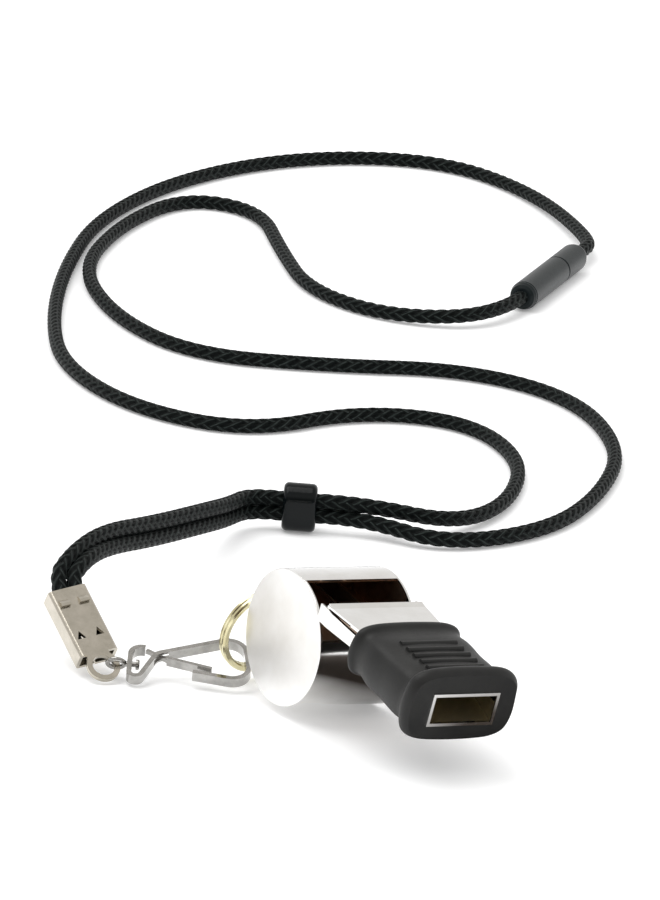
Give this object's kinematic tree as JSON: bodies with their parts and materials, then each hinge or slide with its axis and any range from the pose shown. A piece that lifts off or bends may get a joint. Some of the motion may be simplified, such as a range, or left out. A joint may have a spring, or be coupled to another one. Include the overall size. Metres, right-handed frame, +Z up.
{
  "type": "training whistle with lanyard",
  "caption": "Metal barrel whistle with a ribbed rubber mouth grip on a split ring, swivel hook and doubled neck cord with sliding bead and breakaway connector.",
  "frame": {"origin": "on the table, under the middle of the box round the whistle, ring, hook and crimp (the loose cord and the pieces on it left out)", "axes": "+X to the right along the hook, +Y away from the whistle towards the laid-out cord, +Z up from the table"},
  "size_m": [0.1057, 0.3908, 0.0234],
  "materials": {
    "plated_steel": "bright nickel-chrome plate on pressed sheet",
    "grip_rubber": "matt moulded rubber",
    "brassy_ring": "pale brass-tinted plate",
    "nickel_strip": "bright nickel plate on spring strip",
    "warm_nickel": "warm nickel plate on folded sheet",
    "braided_cord": "round braided polyester",
    "black_gloss": "glossy moulded plastic",
    "dark_satin": "satin moulded plastic"
  },
  "bodies": {
    "lanyard": {"crimp_clamp": "warm_nickel", "cord_a": "braided_cord", "cord_b": "braided_cord", "breakaway_socket": "dark_satin"},
    "swivel": {"swivel_eye": "nickel_strip", "swivel_rivet": "nickel_strip"},
    "hook": {"hook_body": "nickel_strip"},
    "gate": {"hook_gate": "nickel_strip"},
    "ring": {"split_ring": "brassy_ring"},
    "whistle": {"left_side_plate": "plated_steel", "right_side_plate": "plated_steel", "barrel_wrap": "plated_steel", "duct_floor": "plated_steel", "duct_roof": "plated_steel", "left_divider": "plated_steel", "right_divider": "plated_steel", "left_baffle": "plated_steel", "right_baffle": "plated_steel", "ring_lug": "plated_steel", "mouth_grip": "grip_rubber"},
    "slider": {"slider_bead": "black_gloss"},
    "plug": {"breakaway_plug": "dark_satin"}
  },
  "joints": [
    {"name": "eye_swing", "type": "hinge", "parent": "lanyard", "child": "swivel", "pos_m": [-0.0255, 0.01556, 0.00267], "axis": [-0.4798, 0.6333, 0.6073], "range_deg": [-10, 10]},
    {"name": "hook_spin", "type": "hinge", "parent": "swivel", "child": "hook", "pos_m": [-0.0255, 0.01556, 0.00267], "axis": [1, 0, 0], "continuous": true},
    {"name": "gate_spring", "type": "hinge", "parent": "hook", "child": "gate", "pos_m": [-0.0208, 0.0189, 0.00402], "axis": [0, -0.3746, 0.9272], "range_deg": [0, 12], "stiffness_Nm_per_rad": 0.05, "springref_deg": -5.73},
    {"name": "ring_swing", "type": "hinge", "parent": "hook", "child": "ring", "pos_m": [-0.00475, 0.01946, 0.00425], "axis": [0, 0.9272, 0.3746], "range_deg": [-8, 20]},
    {"name": "whistle_swing", "type": "hinge", "parent": "ring", "child": "whistle", "pos_m": [0.00158, 0.02116, 0.01391], "axis": [0.8344, 0.5453, -0.0805], "range_deg": [-40, 14]},
    {"name": "bead_slide", "type": "slide", "parent": "lanyard", "child": "slider", "axis": [1, 0, 0], "range_m": [-0.0035, 0.004]},
    {"name": "plug_release", "type": "slide", "parent": "lanyard", "child": "plug", "axis": [0.2951, 0.9555, 0], "range_m": [0, 0.007]}
  ]
}
